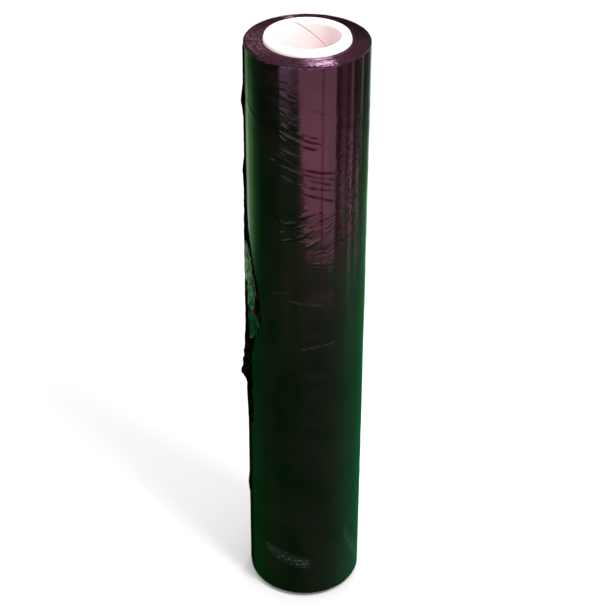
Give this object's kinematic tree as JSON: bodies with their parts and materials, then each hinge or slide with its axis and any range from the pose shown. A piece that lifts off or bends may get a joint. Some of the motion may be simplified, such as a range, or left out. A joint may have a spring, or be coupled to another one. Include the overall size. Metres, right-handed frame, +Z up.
{
  "type": "stretch wrap roll",
  "caption": "Hand roll of dark glossy stretch film wound on a white paper core, standing on end, with a torn, crumpled film tail loose down one side.",
  "frame": {"origin": "on the axis of the core's bore, at the lower end of the core", "axes": "+Z up along the core's axis, -Y the front of the roll in the picture, -X the side with the loose tail"},
  "size_m": [0.0995, 0.094, 0.5066],
  "materials": {
    "core_paper": "uncoated white paper tube",
    "dark_film": "dark green-black polyethylene film, glossy outside, satin on the wound ends"
  },
  "bodies": {
    "root": {"paper_core": "core_paper", "stretch_film": "dark_film"}
  },
  "joints": []
}
